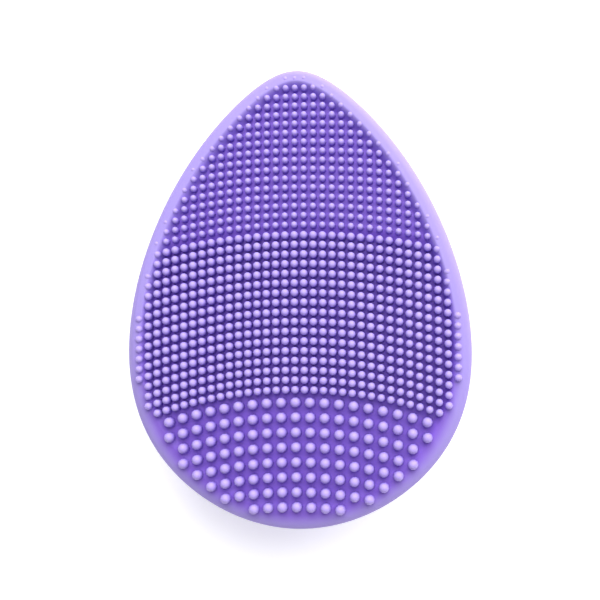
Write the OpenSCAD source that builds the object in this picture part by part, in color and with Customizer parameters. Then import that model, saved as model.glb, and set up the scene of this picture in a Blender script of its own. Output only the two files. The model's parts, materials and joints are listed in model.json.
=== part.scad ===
// Silicone facial cleansing brush, for the hand.
// A teardrop pad carries three fields of bristles on its face. A soft neck on its back ends in a
// grip collar, and the collar turns on the mushroom stud of a suction cup that the brush rests on.
// The suction lip lies on z = 0, the bristles point up and the pointed end of the pad is at +Y.

/* [Pad] */
// Length of the pad, from its round end to its pointed end
pad_length = 80; // [76:1:84]
// Width of the pad where it is widest
pad_width = 60; // [57:1:63]
// Height of the pad's flat back above the surface that the cup stands on
pad_back_z = 18; // [17:0.5:20]
// Thickness of the pad under its bristles
pad_thickness = 3; // [2.5:0.1:4]
// Height of the longest bristle, in the middle of the pad, above the floor between the bristles
bristle_height = 4; // [3.5:0.1:5]

/* [Bristles] */
// Diameter of the fine bristles at the pointed end
fine_d = 1.1; // [0.8:0.05:1.2]
// Diameter of the medium bristles across the middle
medium_d = 1.32; // [0.9:0.02:1.4]
// Diameter of the large bristles at the round end
large_d = 1.76; // [1.4:0.02:2]
// Spacing of the fine and the medium bristles along a row
close_pitch = 1.625; // [1.5:0.025:1.8]
// Spacing of the large bristles along a row
wide_pitch = 2.48; // [2.3:0.02:2.6]
// Number of rows of fine bristles
fine_rows = 17; // [15:1:17]
// Number of rows of medium bristles
medium_rows = 17; // [15:1:17]
// Number of rows of large bristles
large_rows = 8; // [6:1:8]

/* [Suction cup] */
// Outer diameter of the suction lip
cup_d = 37; // [34:1:40]
// Height of the cup, from its lip to the flange under the collar
cup_h = 8.3; // [8:0.1:9]
// Diameter of the stud that the collar turns on
stud_d = 6.8; // [6:0.1:7.2]
// Width of the tab that lifts the lip
tab_w = 8; // [6:0.5:10]

/* [Collar] */
// Outer diameter of the grip collar
collar_d = 14.6; // [14:0.1:16]
// Gap all round between the stud and the collar's bore
stud_gap = 0.05; // [0.03:0.01:0.1]

/* [Hidden] */
$fn = 64;

// The pad's outline, from an angle t that runs from -90 at the round end to 90 at the point:
// x = half the width * cos t * (belly - taper * sin t - nose * sin^4 t), y = half the length * sin t
belly = 0.968;
taper = 0.264;
nose = 0.12;
outline_points = 72;

// Heights
floor_z = pad_back_z + pad_thickness;
edge_z = floor_z - 0.5;
top_z = floor_z + bristle_height;
neck_z = pad_back_z - 3.5;
collar_z = cup_h + 0.1;

// The bristle tips lie on a shallow dome that falls by these amounts per square millimetre
fall_x = 0.00215;
fall_y = 0.00135;

// The rim stands this far below the tips at the point, and this much more at the round end
rim_drop = 0.3;
rim_extra_drop = 1.2;

// Rows of bristles, from the pointed end to the round end
fine_start_y = 38.2;
fine_row_pitch = 1.62;
medium_start_y = 10.5;
medium_row_pitch = 1.659;
large_start_y = -18.2;
large_row_pitch = 2.545;
close_margin = 1.85;
wide_margin = 2.44;

// The cup and the neck share one axis, under the middle of the pad's area
axis_y = -5;

// Stud, collar and cup
stud_head_d = stud_d + 3.2;
stud_head_h = 1.6;
collar_floor = 2.4;
lip_w = 2.6;
lip_h = 1.1;
hub_r = 6.5;
hub_h = 2.1;

function two_digits(n) = n < 10 ? str("0", n) : str(n);
function row_names(stem, rows) = [for (n = [1 : rows]) str(stem, two_digits(n))];
FINE = row_names("fine_row_", fine_rows);
MEDIUM = row_names("medium_row_", medium_rows);
LARGE = row_names("large_row_", large_rows);

// --- Outline and dome ---------------------------------------------------------------------------

// How wide the outline is at angle t, as a share of half the width
function spread(t) = belly - taper * sin(t) - nose * pow(sin(t), 4);

// A point of the outline, and the direction that points straight out of it
function edge(t) = [pad_width / 2 * cos(t) * spread(t), pad_length / 2 * sin(t)];
function outward(t) =
    let (s = sin(t), c = cos(t))
    let (dx = pad_width / 2 * (-s * spread(t) - c * c * (taper + 4 * nose * s * s * s)))
    let (dy = pad_length / 2 * c)
    [dy, -dx] / norm([dy, -dx]);

// The outline moved inwards by an amount, at angle t
function inside_edge(t, inset) = edge(t) - inset * outward(t);

// Height of the dome of bristle tips above the point (x, y)
function tip_z(x, y) = top_z - fall_x * x * x - fall_y * y * y;

// Height of the rim's crest at angle t
function rim_z(t) =
    let (p = inside_edge(t, 1.2))
    let (roundness = (1 - sin(t)) / 2)
    tip_z(p.x, p.y) - rim_drop - rim_extra_drop * roundness * roundness;

// How far the point (x, y) is inside the outline
function depth_inside(x, y) =
    let (t = asin(max(-1, min(1, y / (pad_length / 2)))))
    (edge(t).x - abs(x)) * outward(t).x;

// --- Rings joined into a closed solid -------------------------------------------------------------

function ring_angle(k) = 360 * k / outline_points;

// Quads between ring a and ring b, seen from outside when ring b is above ring a
function band(a, b) = [
    for (k = [0 : outline_points - 1])
        let (m = (k + 1) % outline_points)
        [b * outline_points + k, b * outline_points + m, a * outline_points + m, a * outline_points + k]
];

// A solid plate from rings that are each [inset, z]
module plate(rings) {
    last = len(rings) - 1;
    points = [
        for (r = rings)
            for (k = [0 : outline_points - 1])
                let (p = inside_edge(ring_angle(k), r[0]))
                [p.x, p.y, r[1]]
    ];
    bottom = [for (k = [0 : outline_points - 1]) k];
    top = [for (k = [outline_points - 1 : -1 : 0]) last * outline_points + k];
    faces = concat([bottom, top], [for (r = [0 : last - 1]) for (f = band(r, r + 1)) f]);
    polyhedron(points, faces);
}

// A closed hoop from rings that are each [inset, share of the way from the floor to the crest]
module hoop(rings) {
    count = len(rings);
    points = [
        for (r = rings)
            for (k = [0 : outline_points - 1])
                let (t = ring_angle(k))
                let (p = inside_edge(t, r[0]))
                [p.x, p.y, floor_z + r[1] * (rim_z(t) - floor_z)]
    ];
    faces = [for (r = [0 : count - 1]) for (f = band(r, (r + 1) % count)) f];
    polyhedron(points, faces);
}

// --- Pad -----------------------------------------------------------------------------------------

module pad_base() {
    color([0.66, 0.56, 0.91])
    plate([
        [2.4, pad_back_z],
        [1.3, pad_back_z + 0.2],
        [0.5, pad_back_z + 0.8],
        [0.1, edge_z - 0.6],
        [0, edge_z],
        [0.05, floor_z]
    ]);
}

module rim_lip() {
    color([0.72, 0.63, 0.95])
    hoop([
        [0.05, 0],
        [0.2, 0.45],
        [0.5, 0.8],
        [0.95, 0.98],
        [1.4, 1],
        [1.9, 0.8],
        [2.4, 0.42],
        [3, 0]
    ]);
}

// One bristle: a round post with a domed tip, standing on the floor
module bristle(x, y, d) {
    r = d / 2;
    post = tip_z(x, y) - floor_z - r;
    translate([x, y, floor_z]) {
        cylinder(h = post, r = r, $fn = 24);
        translate([0, 0, post]) sphere(r = r, $fn = 24);
    }
}

// A row sags towards its ends: y = row_y - bend * x * x
function row_bend(row_y) = 0.0055 - 0.000075 * row_y;

// Every bristle of a row that lies at least a margin inside the outline
module bristle_row(row_y, pitch, d, margin) {
    reach = ceil(pad_width / 2 / pitch);
    for (i = [-reach : reach]) {
        x = i * pitch;
        y = row_y - row_bend(row_y) * x * x;
        if (depth_inside(x, y) >= margin) bristle(x, y, d);
    }
}

module fine_row(n) {
    color([0.82, 0.74, 0.98])
    bristle_row(fine_start_y - n * fine_row_pitch, close_pitch, fine_d, close_margin);
}

// The last medium row keeps the wide margin of the large bristles beside it
module medium_row(n) {
    margin = n == medium_rows - 1 ? wide_margin : close_margin;
    color([0.8, 0.71, 0.97])
    bristle_row(medium_start_y - n * medium_row_pitch, close_pitch, medium_d, margin);
}

module large_row(n) {
    color([0.78, 0.69, 0.96])
    bristle_row(large_start_y - n * large_row_pitch, wide_pitch, large_d, wide_margin);
}

// --- Neck, collar and suction cup ------------------------------------------------------------------

// Turns a half profile about the axis that the cup, the collar and the neck share
module turned(points) {
    translate([0, axis_y, 0])
    rotate_extrude($fn = 96)
    polygon(points);
}

module flex_neck() {
    color([0.68, 0.58, 0.92])
    turned([
        [0, neck_z],
        [collar_d / 2 - 1, neck_z],
        [collar_d / 2 - 1.6, neck_z + 0.6],
        [collar_d / 2 - 1.7, neck_z + 1.4],
        [collar_d / 2 - 1.3, neck_z + 2.2],
        [collar_d / 2 + 0.2, neck_z + 3],
        [collar_d / 2 + 2.6, pad_back_z],
        [0, pad_back_z]
    ]);
}

// The collar holds the stud's head in a closed chamber above its bore
module grip_collar() {
    bore_r = stud_d / 2 + stud_gap;
    chamber_r = stud_head_d / 2 + stud_gap;
    chamber_z = collar_z + collar_floor;
    chamber_top = chamber_z + stud_head_h + 2 * stud_gap;
    r = collar_d / 2;
    color([0.66, 0.56, 0.91])
    turned([
        [bore_r, collar_z],
        [r - 0.4, collar_z],
        [r, collar_z + 0.4],
        [r, neck_z - 0.5],
        [r - 0.5, neck_z],
        [0, neck_z],
        [0, chamber_top],
        [chamber_r, chamber_top],
        [chamber_r, chamber_z],
        [bore_r, chamber_z]
    ]);
}

// The hub closes the top of the cup, and its stud ends in a mushroom head
module cup_stud() {
    head_z = collar_z + collar_floor + stud_gap;
    head_r = stud_head_d / 2;
    color([0.8, 0.75, 0.95])
    turned([
        [0, cup_h - hub_h],
        [hub_r, cup_h - hub_h],
        [hub_r, cup_h],
        [stud_d / 2, cup_h],
        [stud_d / 2, head_z],
        [head_r, head_z],
        [head_r, head_z + 0.5],
        [head_r - 0.9, head_z + stud_head_h],
        [0, head_z + stud_head_h]
    ]);
}

// A thin bell between the hub and the lip
module suction_skirt() {
    r = cup_d / 2;
    color([0.78, 0.72, 0.95])
    turned([
        [hub_r, cup_h - hub_h],
        [hub_r + 2.2, cup_h - 4],
        [r - 6, 2.3],
        [r - lip_w + 0.3, lip_h],
        [r - 0.7, lip_h],
        [r - 5, 3.6],
        [r - 9, 6.2],
        [hub_r + 0.8, cup_h - 0.4],
        [hub_r, cup_h - 0.3]
    ]);
}

module suction_lip() {
    r = cup_d / 2;
    color([0.78, 0.72, 0.95])
    turned([
        [r - lip_w, 0],
        [r, 0],
        [r, 0.4],
        [r - 0.7, lip_h],
        [r - lip_w, lip_h]
    ]);
}

// A flat tongue that leaves the lip towards the round end, with two ribs for the finger
module pull_tab() {
    r = cup_d / 2;
    reach = 5;
    thick = 0.9;
    lift = 0.15;
    color([0.78, 0.72, 0.95])
    translate([0, axis_y, lift])
    difference() {
        union() {
            translate([-tab_w / 2, -r - reach + tab_w / 2, 0]) cube([tab_w, reach, thick]);
            translate([0, -r - reach + tab_w / 2, 0]) cylinder(h = thick, d = tab_w);
            for (y = [-r - 3.6, -r - 2])
                translate([-tab_w / 2 + 1.5, y, thick]) cube([tab_w - 3, 0.6, 0.4]);
        }
        translate([0, 0, -1]) cylinder(h = 4, r = r, $fn = 96);
    }
}

// --- Nodes ------------------------------------------------------------------------------------------

suction_lip();
pull_tab();
suction_skirt();
cup_stud();
grip_collar();
flex_neck();
pad_base();
rim_lip();
for (n = [0 : fine_rows - 1]) fine_row(n);
for (n = [0 : medium_rows - 1]) medium_row(n);
for (n = [0 : large_rows - 1]) large_row(n);
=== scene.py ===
"""Silicone facial cleansing brush: its visible surfaces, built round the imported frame.

The brush stands on its suction cup with its bristles up and its pointed end at +Y. Shapes are worked out
in millimetres and turned into metres when a mesh is made.
"""
import json
import math

import bpy
import numpy as np
from mathutils import Matrix, Vector


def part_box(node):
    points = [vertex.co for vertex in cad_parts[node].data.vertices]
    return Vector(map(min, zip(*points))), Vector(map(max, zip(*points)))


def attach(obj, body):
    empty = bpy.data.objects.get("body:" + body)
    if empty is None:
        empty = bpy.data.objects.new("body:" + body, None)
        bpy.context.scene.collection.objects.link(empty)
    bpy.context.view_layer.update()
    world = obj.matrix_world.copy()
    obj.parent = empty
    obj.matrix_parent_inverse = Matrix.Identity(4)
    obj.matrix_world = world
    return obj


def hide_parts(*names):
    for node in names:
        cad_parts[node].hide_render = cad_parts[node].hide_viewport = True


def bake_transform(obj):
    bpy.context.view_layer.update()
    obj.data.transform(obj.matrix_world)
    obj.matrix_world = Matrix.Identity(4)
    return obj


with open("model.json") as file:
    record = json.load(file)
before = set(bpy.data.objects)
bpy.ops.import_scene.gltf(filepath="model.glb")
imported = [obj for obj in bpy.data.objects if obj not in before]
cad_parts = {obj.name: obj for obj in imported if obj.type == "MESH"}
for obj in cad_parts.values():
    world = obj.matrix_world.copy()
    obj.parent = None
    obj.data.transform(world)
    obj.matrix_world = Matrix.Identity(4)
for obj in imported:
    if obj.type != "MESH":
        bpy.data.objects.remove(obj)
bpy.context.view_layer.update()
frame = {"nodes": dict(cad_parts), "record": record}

MM = 0.001


# --- Sizes, in millimetres, taken from the frame ---------------------------------------------------

def box_mm(node):
    """Lowest and highest corners of a CAD node, in millimetres."""
    low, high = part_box(node)
    return np.array(low) / MM, np.array(high) / MM


PAD_LOW, PAD_HIGH = box_mm("pad_base")
COLLAR_LOW, COLLAR_HIGH = box_mm("grip_collar")
NECK_LOW, NECK_HIGH = box_mm("flex_neck")
LIP_LOW, LIP_HIGH = box_mm("suction_lip")
TAB_LOW, TAB_HIGH = box_mm("pull_tab")

# The pad: its widest line runs a little below the face of its CAD plate, and row 7 holds the highest tip
EDGE_BELOW_FACE = 0.5
HALF_WIDTH = 30.0
HALF_LENGTH = PAD_HIGH[1]
BACK_Z = PAD_LOW[2]
WIDEST_Z = PAD_HIGH[2] - EDGE_BELOW_FACE
CROWN_Z = box_mm("medium_row_07")[1][2]

# The cup, the collar and the neck share one upright axis at x = 0, y = AXIS_Y; the bell ends on the hub
AXIS_Y = (LIP_LOW[1] + LIP_HIGH[1]) / 2
CUP_R = (LIP_HIGH[0] - LIP_LOW[0]) / 2
LIP_TOP = LIP_HIGH[2]
HUB_R = 6.5
HUB_LOW = box_mm("cup_stud")[0][2]
COLLAR_R = (COLLAR_HIGH[0] - COLLAR_LOW[0]) / 2
NECK_R = (NECK_HIGH[0] - NECK_LOW[0]) / 2
NECK_Z = NECK_LOW[2]
JOINTS = {joint["name"]: joint for joint in frame["record"]["behaviour"]["joints"]}
HINGE_Z = JOINTS["neck_nod"]["pos_m"][2] / MM

# Outline: x = HALF_WIDTH cos t (BELLY - TAPER sin t - NOSE sin^4 t), y = HALF_LENGTH sin t
BELLY = 0.968
TAPER = 0.264
NOSE = 0.12

# The bristle tips lie on a dome: z = CROWN_Z - FALL_X x^2 - FALL_Y y^2
FALL_X = 0.00215
FALL_Y = 0.00135

# Bristle fields: number of rows, y of the first row, spacing of the rows, spacing along a row, diameter,
# least depth inside the outline, depth of the floor under the tips, sides of a bristle
FIELDS = {
    "fine": dict(
        rows=17, start=38.2, row_pitch=1.62, pitch=1.625, diameter=1.1, margin=1.85, depth=1.9, sides=8),
    "medium": dict(
        rows=17, start=10.5, row_pitch=1.659, pitch=1.625, diameter=1.32, margin=1.85, depth=2.5, sides=10),
    "large": dict(
        rows=8, start=-18.2, row_pitch=2.545, pitch=2.48, diameter=1.76, margin=2.44, depth=2.4, sides=10),
}


# --- Outline and dome ------------------------------------------------------------------------------

def spread(t):
    """How wide the outline is at angle t, as a share of half the width."""
    return BELLY - TAPER * np.sin(t) - NOSE * np.sin(t) ** 4


def edge(t):
    """Points of the outline at angles t, as x and y."""
    return HALF_WIDTH * np.cos(t) * spread(t), HALF_LENGTH * np.sin(t)


def outward(t):
    """The direction straight out of the outline at angles t: the tangent turned by a quarter turn."""
    s, c = np.sin(t), np.cos(t)
    dx = HALF_WIDTH * (-s * spread(t) - c * c * (TAPER + 4 * NOSE * s ** 3))
    dy = HALF_LENGTH * c
    length = np.hypot(dx, dy)
    return dy / length, -dx / length


def tip_z(x, y):
    """Height of the dome that the bristle tips lie on."""
    return CROWN_Z - FALL_X * x * x - FALL_Y * y * y


def smooth(low, high, value):
    """0 below low, 1 above high, and a smooth S between them; high may be below low."""
    u = np.clip((value - low) / (high - low), 0, 1)
    return u * u * (3 - 2 * u)


def mix(a, b, share):
    """a where share is 0 and b where it is 1, in a straight line."""
    return a + (b - a) * share


def row_bend(y):
    """A row sags towards its ends by this much times x squared."""
    return 0.0055 - 0.000075 * y


def into_field(name, x, y, width):
    """0 before a field's first row and 1 after it, across a width that ends at the row."""
    first = FIELDS[name]["start"]
    return smooth(0, width, first + width - row_bend(first) * x * x - y)


def floor_z(x, y):
    """Height of the skin between the bristles: the dome, less each field's own depth."""
    depth = mix(FIELDS["fine"]["depth"], FIELDS["medium"]["depth"], into_field("medium", x, y, 1.4))
    depth = mix(depth, FIELDS["large"]["depth"], into_field("large", x, y, 2.0))
    return tip_z(x, y) - depth


def depth_inside(x, y):
    """How far a point is inside the outline, from its distance sideways to the edge."""
    t = np.arcsin(np.clip(y / HALF_LENGTH, -1, 1))
    return (edge(t)[0] - np.abs(x)) * outward(t)[0]


# --- Meshes ----------------------------------------------------------------------------------------

def make_object(name, points, faces):
    """A smooth-shaded mesh object at the origin, from points in millimetres."""
    mesh = bpy.data.meshes.new(name)
    mesh.from_pydata((np.asarray(points) * MM).tolist(), [], [list(f) for f in faces])
    mesh.polygons.foreach_set("use_smooth", [True] * len(mesh.polygons))
    mesh.update()
    obj = bpy.data.objects.new(name, mesh)
    bpy.context.scene.collection.objects.link(obj)
    return obj


def set_unshaded(obj, values):
    """The attribute unshaded, which a material turns into colour: 0 between the bristles, where the deep
    colour paints shade, 1 at the surface.
    """
    attribute = obj.data.attributes.new("unshaded", "FLOAT", "POINT")
    attribute.data.foreach_set("value", np.clip(values, 0, 1).astype(np.float32).ravel())


def ring_quads(rows, columns, wrap_rows=False):
    """Quads of a grid whose columns wrap round, and whose rows do too if asked."""
    r = np.arange(rows if wrap_rows else rows - 1)[:, None]
    c = np.arange(columns)[None, :]
    r2, c2 = (r + 1) % rows, (c + 1) % columns
    quads = np.stack([r * columns + c, r * columns + c2, r2 * columns + c2, r2 * columns + c], axis=-1)
    return quads.reshape(-1, 4)


def closed_skin(name, grid):
    """A closed surface from a grid of points (rows, columns, 3) that runs from pole to pole.

    The columns go anticlockwise seen from +Z and the rows climb the outside, so faces point outwards. The
    middle of the first and of the last ring each become one point that closes the surface.
    """
    rows, columns = grid.shape[:2]
    points = np.concatenate([grid.reshape(-1, 3), grid[0].mean(0)[None], grid[-1].mean(0)[None]])
    first, last = rows * columns, rows * columns + 1
    c = np.arange(columns)
    c2 = (c + 1) % columns
    top = (rows - 1) * columns
    fans = [(first, b, a) for a, b in zip(c, c2)] + [(last, top + a, top + b) for a, b in zip(c, c2)]
    return make_object(name, points, ring_quads(rows, columns).tolist() + fans)


def turned_grid(profile, columns=144):
    """A profile of (radius, z) points carried round the axis of the cup and the neck."""
    a = np.linspace(0, 2 * np.pi, columns, endpoint=False)[None, :]
    r, z = profile[:, 0][:, None], profile[:, 1][:, None]
    return np.stack([r * np.cos(a), AXIS_Y + r * np.sin(a), z + 0 * a], axis=-1)


def rounded(corners, radii, steps=6):
    """A path of corners with each inner one cut back by its radius and rounded by a quadratic curve."""
    corners = np.asarray(corners, float)
    out = [corners[0][None]]
    for before, here, after, radius in zip(corners, corners[1:], corners[2:], radii):
        u, v = before - here, after - here
        a = here + u * min(radius / np.linalg.norm(u), 0.5)
        b = here + v * min(radius / np.linalg.norm(v), 0.5)
        s = np.linspace(0, 1, steps)[:, None]
        out.append((1 - s) ** 2 * a + 2 * s * (1 - s) * here + s ** 2 * b)
    out.append(corners[-1][None])
    return np.concatenate(out)


def evenly(path, step):
    """The same path with a point about every step along each of its straight stretches."""
    out = []
    for a, b in zip(path, path[1:]):
        count = max(1, math.ceil(np.linalg.norm(b - a) / step))
        out.append(a + (b - a) * np.arange(count)[:, None] / count)
    return np.concatenate(out + [path[-1][None]])


# --- Pad -------------------------------------------------------------------------------------------

# Insets from the outline to the flat of the back and to the last ring that follows the outline on the face,
# and the y of the middle that the rings inside them close in on
BACK_INSET = 3.2
FACE_INSET = 4.4
MIDDLE_Y = -3.0

# A shallow bead on the back: its inset, the width of its Gaussian section and its height
BEAD = dict(inset=6.5, width=0.9, height=0.3)

# The rim's measures, first at the point and the sides, then at the round end: the insets where its crest
# starts and ends and where its wall ends, how far the crest is under the tips, how far the widest line
# sinks, and the insets between which painted shade darkens the skin towards the floor
RIM = {
    "crest_start": (1.3, 2.8),
    "crest_end": (2.15, 2.9),
    "wall_end": (3.9, 4.6),
    "crest_drop": (0.13, 2.1),
    "edge_drop": (0.0, 1.0),
    "shade_start": (1.8, 0.2),
    "shade_end": (4.2, 2.9),
}


def bluntness(t):
    """0 round the pointed part and the sides of the outline, 1 at its round end."""
    return smooth(-0.2, 0.9, -np.sin(t))


def pad_grid(columns=288):
    """The pad's closed skin over the outline angle t and a path from its back to its face, and its unshaded
    share, which paints shade down the rim's wall, over the floor between the bristles and over the round
    end's rim.

    Back: rings scaled out from the middle at the back's height, with a shallow bead. Edge: a quarter
    ellipse out to the widest line, then a quarter ellipse up to the rim's crest. Face: a level crest, an
    S-shaped wall down to the floor between the bristles, then rings scaled in to the middle. Towards the
    round end the crest sinks nearly to the floor and the edge becomes a slope.
    """
    t = np.linspace(0, 2 * np.pi, columns, endpoint=False)[None, :]
    ex, ey = edge(t)
    nx, ny = outward(t)
    rim = {name: mix(*pair, bluntness(t)) for name, pair in RIM.items()}
    widest = WIDEST_Z - rim["edge_drop"]

    def ring(inset):
        return ex - inset * nx, ey - inset * ny

    def scaled(x, y, s):
        return x * s, MIDDLE_Y + (y - MIDDLE_Y) * s

    def reach(x, y):
        return x * nx + (y - MIDDLE_Y) * ny

    # Painted shade: the skin darkens between the shade insets, down the rim's wall and, at the round end,
    # from near the edge.
    def rim_unshaded(inset):
        return 1 - smooth(rim["shade_start"], rim["shade_end"], inset)

    rows, unshaded = [], []

    def add(x, y, z, share):
        rows.append(np.stack([(x + 0 * t)[0], (y + 0 * t)[0], (z + 0 * t)[0]], axis=-1))
        unshaded.append((share + 0 * t)[0])

    bx, by = ring(BACK_INSET)
    for s in np.concatenate([np.linspace(0.05, 0.7, 10), np.linspace(0.72, 0.99, 24)]):
        inset = BACK_INSET + (1 - s) * reach(bx, by)
        bead = BEAD["height"] * np.exp(-((inset - BEAD["inset"]) / BEAD["width"]) ** 2)
        add(*scaled(bx, by, s), BACK_Z - bead, 1)
    quarter = np.linspace(0, np.pi / 2, 12)
    for a in quarter:
        add(*ring(BACK_INSET * (1 - np.sin(a))), widest - (widest - BACK_Z) * np.cos(a), 1)
    crest = tip_z(*ring(rim["crest_start"])) - rim["crest_drop"]
    for a in quarter[1:]:
        inset = rim["crest_start"] * (1 - np.cos(a))
        add(*ring(inset), widest + (crest - widest) * np.sin(a), rim_unshaded(inset))

    def add_face(x, y, inset):
        down = smooth(0, 1, (inset - rim["crest_end"]) / (rim["wall_end"] - rim["crest_end"]))
        add(x, y, mix(tip_z(x, y) - rim["crest_drop"], floor_z(x, y), down), rim_unshaded(inset))

    for share in np.linspace(0, 1, 20)[1:]:
        inset = mix(rim["crest_start"], FACE_INSET, share)
        add_face(*ring(inset), inset)
    fx, fy = ring(FACE_INSET)
    for s in 1 - np.linspace(0, 1, 34)[1:-1] ** 1.3:
        add_face(*scaled(fx, fy, s), FACE_INSET + (1 - s) * reach(fx, fy))
    return np.array(rows), np.array(unshaded)


def pad_moulding():
    """The pad's skin as one closed surface, with its unshaded share for painted shade."""
    grid, unshaded = pad_grid()
    pad = closed_skin("pad_moulding", grid)
    set_unshaded(pad, np.concatenate([unshaded.ravel(), [unshaded[0, 0], unshaded[-1, 0]]]))
    return pad


def bristle_places(field, n):
    """x and y of the bristles of row n of a field: y = row y - bend * x^2, kept inside the outline's margin.

    The last medium row keeps the wide margin of the large bristles beside it.
    """
    f = FIELDS[field]
    row_y = f["start"] - n * f["row_pitch"]
    margin = FIELDS["large"]["margin"] if field == "medium" and n == f["rows"] - 1 else f["margin"]
    reach = math.ceil(HALF_WIDTH / f["pitch"])
    x = np.arange(-reach, reach + 1) * f["pitch"]
    y = row_y - row_bend(row_y) * x * x
    keep = depth_inside(x, y) >= margin
    return x[keep], y[keep]


def bristle_row(name, field, n):
    """Every bristle of a row: a slightly tapered post with a domed tip, swept round its own axis.

    The radius shrinks from the sunk foot, over a fillet, to r under the dome; the dome is a half circle cut
    at a few angles. The unshaded share is 0 at the foot and 1 at the tip, so the deep colour paints shade
    round each bristle's foot.
    """
    foot_swell, fillet_swell, sunk, fillet = 1.12, 1.03, 0.25, 0.5
    dome = np.radians([0, 38, 66])
    x, y = bristle_places(field, n)
    r, sides = FIELDS[field]["diameter"] / 2, FIELDS[field]["sides"]
    foot, tip = floor_z(x, y), tip_z(x, y)
    radii = np.concatenate([[foot_swell * r, fillet_swell * r], r * np.cos(dome)])
    heights = np.stack([foot - sunk, foot + fillet] + [tip - r + r * np.sin(d) for d in dome])
    a = np.linspace(0, 2 * np.pi, sides, endpoint=False)
    levels = len(radii)
    points = np.empty((len(x), levels * sides + 1, 3))
    body = points[:, :-1].reshape(len(x), levels, sides, 3)
    body[..., 0] = x[:, None, None] + radii[None, :, None] * np.cos(a)
    body[..., 1] = y[:, None, None] + radii[None, :, None] * np.sin(a)
    body[..., 2] = heights.T[:, :, None]
    points[:, :-1] = body.reshape(len(x), -1, 3)
    points[:, -1] = np.stack([x, y, tip], axis=-1)
    quads = ring_quads(levels, sides)
    c = np.arange(sides)
    top = (levels - 1) * sides
    fan = np.stack([top + c, top + (c + 1) % sides, np.full(sides, levels * sides)], axis=-1)
    count = levels * sides + 1
    faces = []
    for k in range(len(x)):
        faces += (quads + k * count).tolist()
        faces += (fan + k * count).tolist()
        faces.append((c[::-1] + k * count).tolist())
    row = make_object(name, points.reshape(-1, 3), faces)
    # Painted shade round each bristle's foot, fading to pale at its tip.
    set_unshaded(row, (points[..., 2] - foot[:, None]) / (tip - foot)[:, None])
    return row


# --- Neck, collar and suction cup --------------------------------------------------------------------

def neck_radius(z):
    """The neck's radius: a parabola that widens down to the collar, a cubic that flares up to the pad."""
    waist_z, waist_r, foot_flare = NECK_Z + 1.3, COLLAR_R - 1.7, 0.7
    below = np.clip((waist_z - z) / (waist_z - NECK_Z), 0, 1)
    above = np.clip((z - waist_z) / (BACK_Z - waist_z), 0, 1)
    return waist_r + foot_flare * below ** 2 + (NECK_R - waist_r) * above ** 3


def neck_half(name, low, high, sunk=0.0):
    """The part of the neck between two heights, closed flat at both ends and sunk a little into the pad."""
    z = np.linspace(low, high, 14)
    wall = np.stack([neck_radius(z), z], axis=-1)
    ends = np.array([[0.02, low]]), np.array([[wall[-1, 0], high + sunk], [0.02, high + sunk]])
    return closed_skin(name, turned_grid(evenly(np.concatenate([ends[0], wall, ends[1]]), 1.2)))


def grip_ribs(radius, z, a):
    """How deep the collar is cut at height z and angle a: rounded flutes that run out before both ends."""
    ribs, depth = 24, 0.5
    low, high = COLLAR_LOW[2], COLLAR_HIGH[2]
    along = smooth(low + 0.9, low + 1.7, z) * (1 - smooth(high - 1.9, high - 1.1, z))
    outside = smooth(COLLAR_R - 0.2, COLLAR_R - 0.05, radius)
    return depth * along * outside * (0.5 - 0.5 * np.cos(ribs * a)) ** 1.5


def collar_grip():
    """The collar as one closed turned surface: chamber, bore, underside, fluted grip and top."""
    low, high = COLLAR_LOW[2], COLLAR_HIGH[2]
    bore_r, chamber_r = 3.45, 5.05
    chamber_low, chamber_high = low + 2.4, low + 4.1
    chamber = [(0.02, chamber_high), (chamber_r, chamber_high), (chamber_r, chamber_low)]
    bore = [(bore_r, chamber_low), (bore_r, low)]
    grip = [(COLLAR_R, low), (COLLAR_R, high), (0.02, high)]
    path = evenly(rounded(chamber + bore + grip, [0.1, 0.1, 0.1, 0.2, 0.6, 0.7]), 0.35)
    columns = 288
    grid = turned_grid(path, columns)
    a = np.linspace(0, 2 * np.pi, columns, endpoint=False)[None, :]
    cut = grip_ribs(path[:, 0][:, None], path[:, 1][:, None], a)
    grid[..., 0] -= cut * np.cos(a)
    grid[..., 1] -= cut * np.sin(a)
    return closed_skin("collar_grip", grid)


def cup_bell():
    """The cup's bell and sealing lip as one closed hoop: a rounded section carried round the axis.

    The section runs along the lip's flat foot with a shallow groove, up its rounded outside, up the bell's
    hollow curve to the hub, and back down the inside.
    """
    r, lip_r, top_z = CUP_R, CUP_R - 2.6, 8.05
    foot = [(lip_r, 0.5), (lip_r, 0), (r - 2.2, 0), (r - 2.0, 0.18), (r - 1.8, 0), (r, 0)]
    outside = [(r, 0.45), (r - 0.8, LIP_TOP + 0.05), (r - 5, 3.6), (r - 9, 6.2), (HUB_R + 0.9, 7.7)]
    seat = [(HUB_R + 0.5, top_z), (HUB_R, top_z), (HUB_R, HUB_LOW)]
    inside = [(HUB_R + 2.2, 4.3), (r - 6, 2.3), (lip_r, LIP_TOP), (lip_r, 0.5)]
    radii = [0.1, 0.1, 0.1, 0.1, 0.25, 0.25, 1.2, 2.0, 2.0, 0.4, 0.25, 0.1, 0.3, 1.5, 2.0, 0.3]
    path = evenly(rounded(foot + outside + seat + inside, radii), 0.5)[:-1]
    grid = turned_grid(path, 192)
    faces = ring_quads(*grid.shape[:2], wrap_rows=True)
    return make_object("cup_bell", grid.reshape(-1, 3), faces.tolist())


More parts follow.
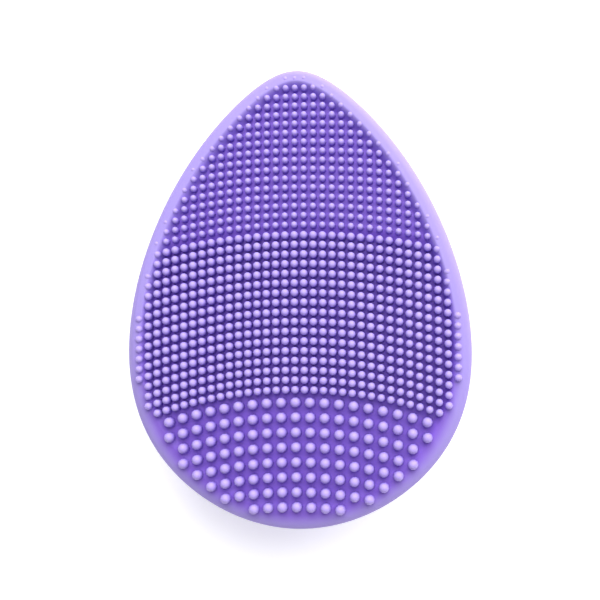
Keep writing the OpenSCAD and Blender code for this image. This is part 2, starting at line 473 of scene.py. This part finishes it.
def tab_tongue(columns=128):
    """The lift tab: a flat tongue whose plan is |x/a|^3 + |y/b|^3 = 1, with rounded edges and three ribs.

    Rings scale in from the plan's edge; each rib is a Gaussian ridge across the top that fades at its ends.
    """
    half_x = (TAB_HIGH[0] - TAB_LOW[0]) / 2
    root_y, end_y = AXIS_Y - CUP_R + 2.3, TAB_LOW[1]
    middle_y, half_y = (root_y + end_y) / 2, (root_y - end_y) / 2
    low, high, edge_r = 0.15, 1.05, 0.4
    middle_z, half_z = (low + high) / 2, (high - low) / 2
    rib_height, rib_width, rib_places = 0.38, 0.22, [end_y + 1.3, end_y + 2.4, end_y + 3.5]
    a = np.linspace(0, 2 * np.pi, columns, endpoint=False)
    c, s = np.cos(a), np.sin(a)
    reach = (np.abs(c) ** 3 + np.abs(s) ** 3) ** (-1 / 3)

    def ring(share, z):
        x, y = half_x * reach * c * share, middle_y + half_y * reach * s * share
        ribs = sum(np.exp(-((y - rib_y) / rib_width) ** 2) for rib_y in rib_places)
        raised = rib_height * ribs * smooth(half_x - 0.8, half_x - 1.8, np.abs(x))
        return np.stack([x, y, z + (raised if z > middle_z else 0 * x)], axis=-1)

    rows = [ring(share, low) for share in np.linspace(0.05, 0.88, 8)]
    for turn in np.linspace(-np.pi / 2, np.pi / 2, 9):
        rows.append(ring(1 - edge_r / half_y * (1 - np.cos(turn)), middle_z + half_z * np.sin(turn)))
    rows += [ring(share, high) for share in np.linspace(0.88, 0.03, 44)]
    return closed_skin("tab_tongue", np.array(rows))


# --- Materials -------------------------------------------------------------------------------------

def socket(tree, name, direction, kind, default=None):
    """Adds one input or output to a node group."""
    s = tree.interface.new_socket(name=name, in_out=direction, socket_type=kind)
    if default is not None:
        s.default_value = default


def moulded_grain():
    """Fine pitting of a moulded silicone skin as a normal, and a mask of slow mottling."""
    tree = bpy.data.node_groups.new("moulded_grain", "ShaderNodeTree")
    socket(tree, "Grain scale", "INPUT", "NodeSocketFloat", 2500.0)
    socket(tree, "Grain depth", "INPUT", "NodeSocketFloat", 0.2)
    socket(tree, "Mottle scale", "INPUT", "NodeSocketFloat", 90.0)
    socket(tree, "Normal", "OUTPUT", "NodeSocketVector")
    socket(tree, "Mottle", "OUTPUT", "NodeSocketFloat")
    nodes, links = tree.nodes, tree.links
    inputs, outputs = nodes.new("NodeGroupInput"), nodes.new("NodeGroupOutput")
    place = nodes.new("ShaderNodeTexCoord")
    grain = nodes.new("ShaderNodeTexNoise")
    grain.inputs["Detail"].default_value = 2.0
    mottle = nodes.new("ShaderNodeTexNoise")
    mottle.inputs["Detail"].default_value = 3.0
    bump = nodes.new("ShaderNodeBump")
    bump.inputs["Distance"].default_value = 0.00002
    links.new(place.outputs["Object"], grain.inputs["Vector"])
    links.new(place.outputs["Object"], mottle.inputs["Vector"])
    links.new(inputs.outputs["Grain scale"], grain.inputs["Scale"])
    links.new(inputs.outputs["Mottle scale"], mottle.inputs["Scale"])
    links.new(inputs.outputs["Grain depth"], bump.inputs["Strength"])
    links.new(grain.outputs["Fac"], bump.inputs["Height"])
    links.new(bump.outputs["Normal"], outputs.inputs["Normal"])
    links.new(mottle.outputs["Fac"], outputs.inputs["Mottle"])
    return tree


GRAIN = moulded_grain()


def srgb(r, g, b):
    """A colour given as 0 to 255 display values, as linear light."""
    def linear(v):
        v /= 255
        return v / 12.92 if v <= 0.04045 else ((v + 0.055) / 1.055) ** 2.4
    return (linear(r), linear(g), linear(b), 1.0)


def silicone(name, deep, pale, roughness=0.5, subsurface=0.1, by_painted_shade=False, grain=0.2):
    """Satin silicone: a colour between a deep and a pale lilac, a little light passing under the skin.

    The share of the pale colour is the mottle, or with by_painted_shade the unshaded share plus a little of
    the mottle, so that the deep colour is painted shade between the bristles, at their feet and down the
    pad's rim.
    """
    mottle_share = 0.12 if by_painted_shade else 1.0
    gloss_spread = 0.05
    material = bpy.data.materials.new(name)
    material.use_nodes = True
    nodes, links = material.node_tree.nodes, material.node_tree.links
    shader = nodes["Principled BSDF"]
    group = nodes.new("ShaderNodeGroup")
    group.node_tree = GRAIN
    group.inputs["Grain depth"].default_value = grain
    colour = nodes.new("ShaderNodeMix")
    colour.data_type = "RGBA"
    colour.inputs["A"].default_value = deep
    colour.inputs["B"].default_value = pale
    share = nodes.new("ShaderNodeMath")
    share.operation = "MULTIPLY_ADD"
    share.inputs[1].default_value = mottle_share
    share.inputs[2].default_value = 0.0
    links.new(group.outputs["Mottle"], share.inputs[0])
    # Painted shade: the unshaded attribute takes the colour towards the deep lilac where it is low.
    if by_painted_shade:
        unshaded = nodes.new("ShaderNodeAttribute")
        unshaded.attribute_name = "unshaded"
        links.new(unshaded.outputs["Fac"], share.inputs[2])
    links.new(share.outputs["Value"], colour.inputs["Factor"])
    rough = nodes.new("ShaderNodeMapRange")
    rough.inputs["To Min"].default_value = roughness - gloss_spread
    rough.inputs["To Max"].default_value = roughness + gloss_spread
    links.new(group.outputs["Mottle"], rough.inputs["Value"])
    links.new(colour.outputs["Result"], shader.inputs["Base Color"])
    links.new(rough.outputs["Result"], shader.inputs["Roughness"])
    links.new(group.outputs["Normal"], shader.inputs["Normal"])
    shader.inputs["Subsurface Weight"].default_value = subsurface
    shader.inputs["Subsurface Radius"].default_value = (1.0, 0.7, 1.3)
    shader.inputs["Subsurface Scale"].default_value = 0.0006
    shader.inputs["IOR"].default_value = 1.41
    shader.inputs["Specular IOR Level"].default_value = 0.4
    return material


def give(obj, material):
    """Gives an object one material."""
    obj.data.materials.clear()
    obj.data.materials.append(material)


# --- Camera and light ------------------------------------------------------------------------------

def place_camera():
    """The camera looks down on the bristles from a little to +X and -Y, two and a half pad lengths away."""
    sideways, lowered, roll = math.radians(7.3), math.radians(4.2), math.radians(0.25)
    distance = 200.2
    target = Vector((0.52, -0.48, WIDEST_Z))
    right = Vector((math.cos(sideways), 0, -math.sin(sideways)))
    tilt = math.sin(lowered)
    up = Vector((math.sin(sideways) * tilt, math.cos(lowered), math.cos(sideways) * tilt))
    back = right.cross(up)
    turn = Matrix((right, up, back)).transposed() @ Matrix.Rotation(-roll, 3, "Z")
    data = bpy.data.cameras.new("camera")
    data.lens = 69.0
    data.sensor_width = 36.0
    data.clip_start = 0.01
    data.clip_end = 20.0
    camera = bpy.data.objects.new("camera", data)
    camera.matrix_world = Matrix.Translation((target + distance * back) * MM) @ turn.to_4x4()
    bpy.context.scene.collection.objects.link(camera)
    bpy.context.scene.camera = camera


def area_light(name, place, aim, size, power):
    """A round white light of a given width, in metres and watts, aimed at a point."""
    data = bpy.data.lights.new(name, "AREA")
    data.shape = "DISK"
    data.size = size
    data.energy = power
    light = bpy.data.objects.new(name, data)
    light.location = place
    light.rotation_euler = (Vector(aim) - Vector(place)).to_track_quat("-Z", "Y").to_euler()
    bpy.context.scene.collection.objects.link(light)


def light_studio():
    """An even white dome, which the camera sees brighter, and one large soft light from beyond the point."""
    dome_strength, backdrop_strength = 0.5, 0.92
    key_place, key_width, key_power = (0.2, 0.46, 0.56), 1.0, 10.6
    world = bpy.data.worlds.new("studio")
    world.use_nodes = True
    nodes, links = world.node_tree.nodes, world.node_tree.links
    dome = nodes["Background"]
    dome.inputs["Color"].default_value = (1, 1, 1, 1)
    dome.inputs["Strength"].default_value = dome_strength
    backdrop = nodes.new("ShaderNodeBackground")
    backdrop.inputs["Color"].default_value = (1, 1, 1, 1)
    backdrop.inputs["Strength"].default_value = backdrop_strength
    path, either = nodes.new("ShaderNodeLightPath"), nodes.new("ShaderNodeMixShader")
    links.new(path.outputs["Is Camera Ray"], either.inputs["Fac"])
    links.new(dome.outputs["Background"], either.inputs[1])
    links.new(backdrop.outputs["Background"], either.inputs[2])
    links.new(either.outputs["Shader"], nodes["World Output"].inputs["Surface"])
    bpy.context.scene.world = world
    area_light("key", key_place, (0, 0, 0.02), key_width, key_power)
    bpy.context.scene.view_settings.view_transform = "Standard"


def lay_floor():
    """A plain white floor that glows a little, so that it stays pale round the brush."""
    half, glow = 900, 0.35
    corners = [(-half, -half, 0), (half, -half, 0), (half, half, 0), (-half, half, 0)]
    floor = make_object("floor", corners, [(0, 1, 2, 3)])
    material = bpy.data.materials.new("floor_white")
    material.use_nodes = True
    shader = material.node_tree.nodes["Principled BSDF"]
    shader.inputs["Base Color"].default_value = (0.92, 0.92, 0.93, 1)
    shader.inputs["Emission Color"].default_value = (1, 1, 1, 1)
    shader.inputs["Emission Strength"].default_value = glow
    shader.inputs["Roughness"].default_value = 0.8
    give(floor, material)


# --- The brush -------------------------------------------------------------------------------------

def place_on(piece, body, material, slot, *nodes):
    """Gives a piece its material and the body it moves with, and hides the CAD nodes it stands for. The slot
    is not used.
    """
    give(piece, material)
    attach(piece, body)
    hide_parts(*nodes)


def bend_between(piece, bodies, low, high, material, slot, *nodes):
    """Gives a soft piece its material, bakes its placement into its mesh and hides the CAD nodes it stands
    for. The bodies, the two heights and the slot are not used.
    """
    give(piece, material)
    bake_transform(piece)
    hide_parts(*nodes)


place_camera()
light_studio()
lay_floor()

# SHADE_LILAC is painted shade: the colour of the floor between the bristles, of their feet, of the rim's
# wall and of the round end's rim.
SHADE_LILAC = srgb(128, 91, 201)
SKIN = silicone("pad_silicone", SHADE_LILAC, srgb(159, 142, 214), by_painted_shade=True)
BRISTLE = silicone("bristle_silicone", SHADE_LILAC, srgb(175, 156, 227), by_painted_shade=True)
GRIP = silicone("grip_silicone", srgb(152, 132, 206), srgb(164, 146, 218))
CUP = silicone("cup_silicone", srgb(164, 150, 216), srgb(178, 165, 228), roughness=0.22, subsurface=0.25)
STUD = silicone("stud_plastic", srgb(186, 176, 224), srgb(196, 188, 232), roughness=0.35, subsurface=0.0)

place_on(pad_moulding(), "pad", SKIN, "pad_silicone", "pad_base", "rim_lip")
for field, layout in FIELDS.items():
    for n in range(layout["rows"]):
        node = f"{field}_row_{n + 1:02d}"
        row = bristle_row(f"{node}_bristles", field, n)
        place_on(row, "pad", BRISTLE, f"{field}_bristle_silicone", node)

# The neck is made in two halves that meet at the height of its hinges
upper = neck_half("neck_upper", HINGE_Z, BACK_Z, sunk=0.2)
bend_between(upper, ("neck", "pad"), HINGE_Z, BACK_Z, GRIP, "grip_silicone", "flex_neck")
lower = neck_half("neck_lower", NECK_Z, HINGE_Z)
bend_between(lower, ("grip", "neck"), NECK_Z, HINGE_Z, GRIP, "grip_silicone", "flex_neck")
place_on(collar_grip(), "grip", GRIP, "grip_silicone", "grip_collar")

bell = cup_bell()
bend_between(bell, ("lip", "hub"), LIP_TOP, HUB_LOW, CUP, "cup_silicone", "suction_skirt", "suction_lip")
place_on(tab_tongue(), "lip", CUP, "cup_silicone", "pull_tab")
give(frame["nodes"]["cup_stud"], STUD)
